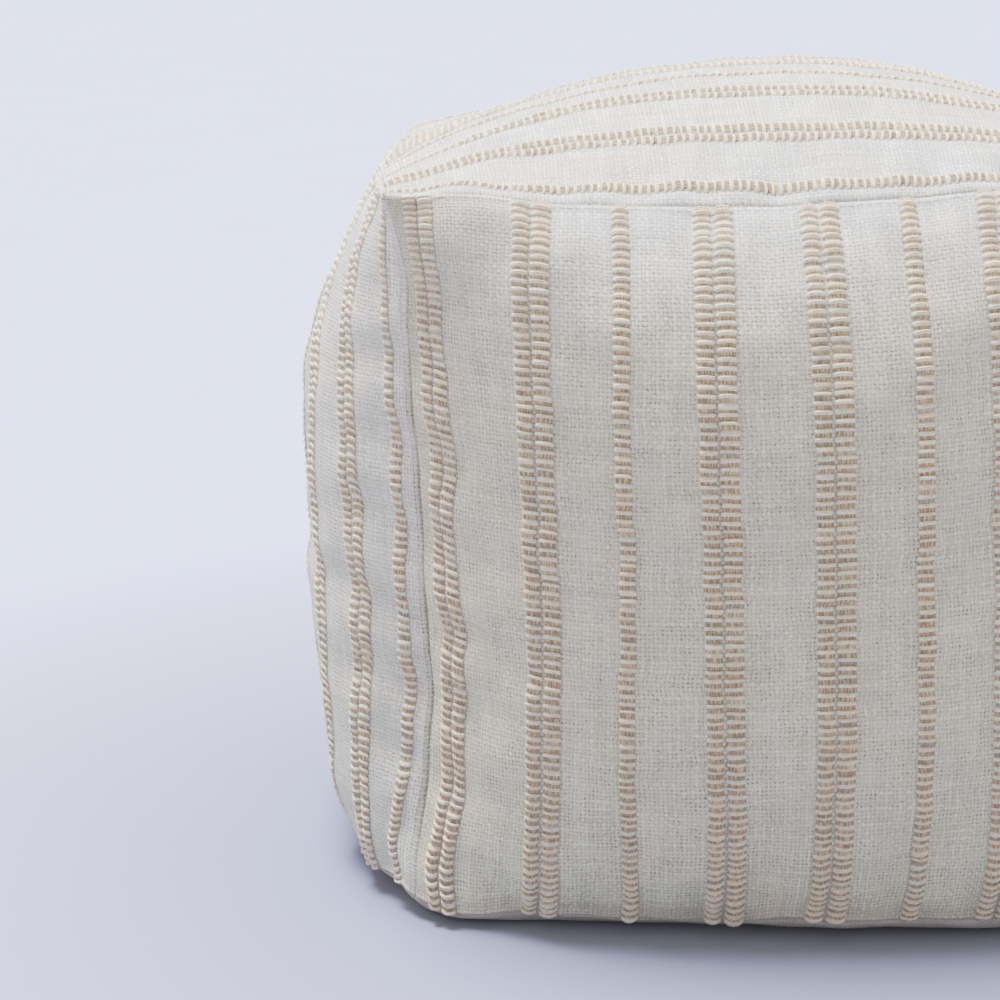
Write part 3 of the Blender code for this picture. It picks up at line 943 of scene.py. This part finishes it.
def weave(n, x, y, cloth):
    """The plain weave's height, 0 in its holes to 1 on its threads, the lines between its
    threads, how dark its holes are, and how pale each thread is."""
    stray = n.noise(cloth, STRAY[0], 1.0)
    across = n.math("MULTIPLY_ADD", n.noise(cloth, STRAY_ACROSS[0]), STRAY_ACROSS[1], x)
    along = n.math("MULTIPLY_ADD", n.noise(cloth, STRAY_ALONG[0]), STRAY_ALONG[1], y)
    x = n.math("DIVIDE", n.math("MULTIPLY_ADD", stray, STRAY[1], across), WARP_PITCH)
    y = n.math("DIVIDE", n.math("MULTIPLY_ADD", stray, -STRAY[1], along), WEFT_PITCH)
    warp, weft = n.math("FLOOR", x), n.math("FLOOR", y)
    over = n.math("PINGPONG", n.math("ADD", warp, weft), 1.0)
    side_x = n.off_middle(n.math("FRACT", x))
    side_y = n.off_middle(n.math("FRACT", y))
    groove_x = n.math("POWER", side_x, GROOVE_POWER)
    groove_y = n.math("POWER", side_y, GROOVE_POWER)
    groove = n.mix_number(over, groove_y, groove_x)

    corner_x, corner_y = n.math("ROUND", x), n.math("ROUND", y)
    away_x, away_y = n.math("SUBTRACT", x, corner_x), n.math("SUBTRACT", y, corner_y)
    away = n.math("MULTIPLY_ADD", away_y, away_y, n.times(away_x, away_x))
    hole = n.ramp(n.math("SQRT", away), *HOLE_REACH, 1.0, 0.0)
    uneven = n.ramp(n.chance(corner_x, corner_y), 0.0, 1.0, HOLE_FAINTEST, 1.0)
    hole = n.times(hole, n.times(uneven, n.patches(cloth, *PATCHES["open"])))

    along_warp = n.math("DIVIDE", y, SLUB_LENGTH)
    along_weft = n.math("DIVIDE", x, SLUB_LENGTH)
    slub_x = n.noise(n.vector(n.times(warp, SLUB_TURNS[0]), along_warp), 1.0, 1.0)
    slub_y = n.noise(n.vector(along_weft, n.times(weft, SLUB_TURNS[1])), 1.0, 1.0)
    pale = n.mix_number(over, slub_y, slub_x)
    height = n.math("SUBTRACT", 1.0, n.times(groove, GROOVE_DEPTH))
    height = n.math("MULTIPLY_ADD", hole, -HOLE_DEPTH, height, clamp=True)
    return height, groove, hole, pale


def plain_colour(n, cloth, y, shade_warmth, groove, hole, pale, shade_in_weave, across=None):
    """The colour of plain cloth, with painted shade beside its cords and along its base seam where it
    has any.
    """
    colour = n.mix(n.patches(cloth, *PATCHES["cool"]), COTTON, COTTON_COOL)
    warm = COTTON_WARM_SHADE
    if across is not None:
        # painted light low on the sides
        low = n.times(n.ramp(y, LOW_RIM, 2 * LOW_RIM), n.ramp(y, LOW_FROM, 2 * LOW_RIM))
        warm = n.mix(low, COTTON_WARM_SHADE, COTTON_LOW_LIT)
    # painted warm shade
    colour = n.mix(shade_warmth, colour, warm)
    threads = n.times(n.ramp(pale, *SLUB_SHADE), n.patches(cloth, *PATCHES["fuzzy"]))
    shade = n.times(n.patches(cloth, *PATCHES["mottled"]), threads)
    if across is not None:
        # painted shade along the base seam's crease, and beside the cords
        shade = n.times(shade, n.ramp(y, *RIM_LINE, RIM_SHADE, 1.0))
        beside = n.ramp(n.off_middle(across), *CORD_SHADOW)
        shade = n.times(shade, beside)
    # painted shade in the lines between the threads and in the holes
    lines = n.math("MULTIPLY_ADD", n.times(groove, shade_in_weave), -GROOVE_SHADE, 1.0)
    colour = n.mix(1.0, colour, n.times(shade, lines), "MULTIPLY")
    dark = n.times(n.times(hole, shade_in_weave), HOLE_SHADE)
    return n.mix(dark, colour, HOLE_SHADOW_COLOUR)


# -------- the bars of the cords
CREAM = (0.970, 0.865, 0.735, 1.0)
CREAM_COOL = (0.930, 0.870, 0.780, 1.0)
CREAM_TINTS = (0.3, 0.8)  # from cool to warm
TAN = (0.778, 0.622, 0.472, 1.0)
TAN_OLIVE = (0.640, 0.560, 0.455, 1.0)
TAN_TINTS = (0.25, 0.6)  # from olive to tan
TAN_SHADOW = (0.400, 0.305, 0.225, 1.0)  # painted shade between the fine threads and at the bar's ends, where they dive into the cloth
TAN_FROM = (0.12, 0.92)  # how strong a bar's tan has to be to show, and to show fully
CORD_EDGE = 0.02  # how much cord there is where its tint no longer colours the plain cloth
CORD_FROM = (0.25, 0.85)  # where at a cord's edge its colour starts, and is whole
STRAND = 0.0009  # width of the fine threads of the bars
STREAK_LENGTH = 0.006
STREAK_ROUGHNESS = 0.6
STREAKS = (0.42, 0.60)  # from where to where in the streaks' noise a bar turns dark
STREAK_HEIGHT = (0.35, 0.65, 0.9, 0.4)  # that noise's low and high, and the height there
RIGHT_END = (0.84, 1.0, 0.0, 0.85)  # from where across the cord a bar is painted dark with shade, and how dark; more on its right, away from the light
LEFT_END = (0.10, 0.0, 0.0, 0.45)
FRAY = (900.0, 2.0, 0.6)  # the noise of frayed threads: its scale, detail and roughness
FRAY_RANGE = (0.3, 0.7)  # its low and high
TAN_FRAY = (0.55, 1.0)  # how much of the streaks' dark shows there
CREAM_FRAY = (0.87, 1.05)  # the cream's shade there
BORDER_FRAY = 0.3  # how ragged the border between tan and cream is
PLY = 0.0011  # width of the threads round a cream bar
PLY_FRAY = 0.7  # how ragged they are, of their width
PLY_SHADE = (0.3, 1.0, 1.0, 0.88)  # from where to where on the way to their sides they are painted darker, as shade on round threads
PLY_DEPTH = 0.30
THREAD_RELIEF = 0.0006  # how much higher than its holes the weave is, in metres


def bar_colour_and_height(n, cloth, across, y, strength, tint):
    """The colour and height of a cord's bars, tan where strength is high and cream elsewhere."""
    fray = n.noise(cloth, *FRAY)
    streak = n.vector(n.times(across, CORD / STRAND), n.math("DIVIDE", y, STREAK_LENGTH))
    streak = n.noise(streak, 1.0, 2.0, STREAK_ROUGHNESS)
    # painted shade between the bar's fine threads and at its edges
    deep = n.times(n.ramp(streak, *STREAKS), n.ramp(fray, *FRAY_RANGE, *TAN_FRAY))
    ends = n.math("MAXIMUM", n.ramp(across, *RIGHT_END), n.ramp(across, *LEFT_END))
    tan_colour = n.mix(n.ramp(tint, *TAN_TINTS), TAN_OLIVE, TAN)
    tan_colour = n.mix(n.math("MAXIMUM", deep, ends), tan_colour, TAN_SHADOW)

    ply = n.math("MULTIPLY_ADD", y, 1 / PLY, n.times(fray, PLY_FRAY))
    ply = n.off_middle(n.math("FRACT", ply))
    # painted shade on the sides of the round threads
    shade = n.times(n.ramp(ply, *PLY_SHADE), n.ramp(fray, *FRAY_RANGE, *CREAM_FRAY))
    cream_colour = n.mix(n.ramp(tint, *CREAM_TINTS), CREAM_COOL, CREAM)
    cream_colour = n.mix(1.0, cream_colour, shade, "MULTIPLY")

    wander = n.math("MULTIPLY_ADD", fray, BORDER_FRAY, -BORDER_FRAY / 2)
    tan_share = n.ramp(n.math("ADD", strength, wander), *TAN_FROM)
    cream_height = n.math("MULTIPLY_ADD", ply, -PLY_DEPTH, 1.0)
    height = n.mix_number(tan_share, cream_height, n.ramp(streak, *STREAK_HEIGHT))
    return n.mix(tan_share, cream_colour, tan_colour), height


def cotton(name, striped):
    material = bpy.data.materials.new(name)
    n = Nodes(material)
    shader = n.tree.nodes["Principled BSDF"]
    cloth = n.add("ShaderNodeUVMap", uv_map="Cloth")[0]
    x, y = n.add("ShaderNodeSeparateXYZ", {0: cloth})[:2]
    thread = n.add("ShaderNodeAttribute", attribute_name="thread")
    on_cord, second, tint = n.add("ShaderNodeSeparateColor", {0: thread["Color"]})

    height, groove, hole, pale = weave(n, x, y, cloth)
    # on plain cloth the tint carries its painted warm shade
    shade_warmth = n.times(tint, n.ramp(on_cord, 0.0, CORD_EDGE, 1.0, 0.0))
    across = thread["Alpha"] if striped else None
    colour = plain_colour(n, cloth, y, shade_warmth, groove, hole, pale, second, across)
    if striped:
        corded = n.ramp(on_cord, *CORD_FROM)
        bar_colour, bar_height = bar_colour_and_height(n, cloth, across, y, second, tint)
        colour = n.mix(corded, colour, bar_colour)
        height = n.mix_number(corded, height, bar_height)
    bump = n.add("ShaderNodeBump", {"Strength": 1.0, "Distance": THREAD_RELIEF, "Height": height})
    n.put(shader.inputs["Normal"], bump[0])
    n.put(shader.inputs["Base Color"], colour)
    shader.inputs["Roughness"].default_value = 0.92
    shader.inputs["Specular IOR Level"].default_value = 0.2
    shader.inputs["Sheen Weight"].default_value = 0.1
    shader.inputs["Sheen Roughness"].default_value = 0.5
    return material


# -------- the pouf
FIRST_SEED = 10
corded = cotton("corded_cotton", True)
plain = cotton("plain_cotton", False)
for number, name in enumerate(STRIPES):
    panel = add_panel(name, *build_striped(name, FIRST_SEED + number))
    panel.data.materials.append(corded)
    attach(panel, "root")
    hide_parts(name)
panel = add_panel("panel_base", *build_base())
panel.data.materials.append(plain)
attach(panel, "root")
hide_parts("panel_base")


# -------- camera, as fitted to the photograph, in metres and degrees, its lens in mm
CAMERA_DISTANCE = 1.479
CAMERA_HEIGHT = 0.563
CAMERA_AZIMUTH = 4.1146
CAMERA_YAW = 6.2608
CAMERA_PITCH = -14.1344
CAMERA_ROLL = -2.2036
CAMERA_LENS = 86.17


def add_camera():
    azimuth = math.radians(CAMERA_AZIMUTH)
    heading = math.radians(CAMERA_AZIMUTH - CAMERA_YAW)
    pitch = math.radians(CAMERA_PITCH)
    roll = math.radians(CAMERA_ROLL)
    place = Vector((-math.sin(azimuth), -math.cos(azimuth), 0)) * CAMERA_DISTANCE
    place.z = CAMERA_HEIGHT
    forward = Vector((math.sin(heading), math.cos(heading), 0)) * math.cos(pitch)
    forward.z = math.sin(pitch)
    right = Vector((math.cos(heading), -math.sin(heading), 0))
    up = right.cross(forward)
    rolled_right = right * math.cos(roll) + up * math.sin(roll)
    rolled_up = up * math.cos(roll) - right * math.sin(roll)
    turn = Matrix((rolled_right, rolled_up, -forward)).transposed()
    camera = bpy.data.objects.new("camera", bpy.data.cameras.new("camera"))
    camera.matrix_world = Matrix.Translation(place) @ turn.to_4x4()
    camera.data.lens = CAMERA_LENS
    bpy.context.scene.collection.objects.link(camera)
    bpy.context.scene.camera = camera


add_camera()


# -------- floor and light
FLOOR_HALF = 40.0
FLOOR_COLOUR = (0.655, 0.688, 0.780, 1)
# painted shadow on the floor round the pouf, darker and bluer near it
FLOOR_SHADOW_COLOUR = (0.430, 0.452, 0.562, 1)
FLOOR_SHADOW_MIDDLE = (0.0, -0.1, 0.0)
FLOOR_SHADOW_REACH = (0.26, 0.85)  # from there, over which the painted shadow's colour turns to the usual one
FLOOR_GRAIN = (3.0, 3.0, 0.5, 0.0, 1.0, 0.985, 1.015)  # as in the cloth's patches
BRIGHT_SIDE = (-0.80, 0.00, 0.60)  # where the light from all round is strongest
BRIGHT_FROM = -0.05  # from where on the way to that side it grows, -1 on the far side
DIM_LIGHT = (0.250, 0.2475, 0.2415, 1)
BRIGHT_LIGHT = (0.610, 0.6015, 0.5935, 1)
SUNS = {  # power, colour, degrees of spread, from overhead, and from behind towards the left
    "soft_box": (2.70, (0.99, 1.0, 1.02), 26, 12.8, 59.4),
    "right_fill": (0.80, (1.0, 0.97, 0.92), 60, 82, 258),
}
TONES = (  # how bright the picture is for each brightness of the scene
    (0.0, 0.0), (0.12, 0.125), (0.24, 0.245), (0.36, 0.395),
    (0.48, 0.505), (0.66, 0.640), (0.84, 0.738), (1.0, 0.835),
)


def add_floor():
    corners = [(x * FLOOR_HALF, y * FLOOR_HALF, 0.0) for x, y in ((-1, -1), (1, -1), (1, 1), (-1, 1))]
    mesh = bpy.data.meshes.new("floor")
    mesh.from_pydata(corners, [], [(0, 1, 2, 3)])
    floor = bpy.data.objects.new("floor", mesh)
    bpy.context.scene.collection.objects.link(floor)
    material = bpy.data.materials.new("pale_floor")
    n = Nodes(material)
    shader = n.tree.nodes["Principled BSDF"]
    place = n.add("ShaderNodeTexCoord")["Object"]
    # painted shadow, darker towards the pouf
    away = n.add("ShaderNodeVectorMath", {0: place, 1: FLOOR_SHADOW_MIDDLE}, operation="DISTANCE")
    far = n.ramp(away["Value"], *FLOOR_SHADOW_REACH)
    colour = n.mix(far, FLOOR_SHADOW_COLOUR, FLOOR_COLOUR)
    grain = n.patches(place, *FLOOR_GRAIN)
    n.put(shader.inputs["Base Color"], n.mix(1.0, colour, grain, "MULTIPLY"))
    shader.inputs["Roughness"].default_value = 0.9
    shader.inputs["Specular IOR Level"].default_value = 0.1
    mesh.materials.append(material)


def add_suns():
    for name, (power, colour, spread, tilt, turn) in SUNS.items():
        sun = bpy.data.objects.new(name, bpy.data.lights.new(name, "SUN"))
        sun.data.energy = power
        sun.data.angle = math.radians(spread)
        sun.data.color = colour
        tilt, turn = math.radians(tilt), math.radians(turn)
        source = Vector((-math.sin(turn), math.cos(turn), 0)) * math.sin(tilt)
        source.z = math.cos(tilt)
        sun.rotation_euler = source.to_track_quat("Z", "Y").to_euler()
        bpy.context.scene.collection.objects.link(sun)


def add_world():
    """Faint light from all round, brighter from above and the left."""
    world = bpy.data.worlds.new("studio")
    n = Nodes(world)
    way = n.add("ShaderNodeTexCoord")["Generated"]
    facing = n.add("ShaderNodeVectorMath", {0: way, 1: BRIGHT_SIDE}, operation="DOT_PRODUCT")
    share = n.ramp(facing["Value"], BRIGHT_FROM, 1.0)
    n.put(n.tree.nodes["Background"].inputs["Color"], n.mix(share, DIM_LIGHT, BRIGHT_LIGHT))
    bpy.context.scene.world = world


def set_tones():
    """A photographer's tone curve, with deep shades and soft highlights."""
    settings = bpy.context.scene.view_settings
    settings.view_transform = "Standard"
    settings.use_curve_mapping = True
    curve = settings.curve_mapping.curves[3]
    for place in TONES[1:-1]:
        curve.points.new(*place)
    curve.points[0].location = TONES[0]
    curve.points[len(TONES) - 1].location = TONES[-1]
    settings.curve_mapping.update()


add_floor()
add_suns()
add_world()
set_tones()
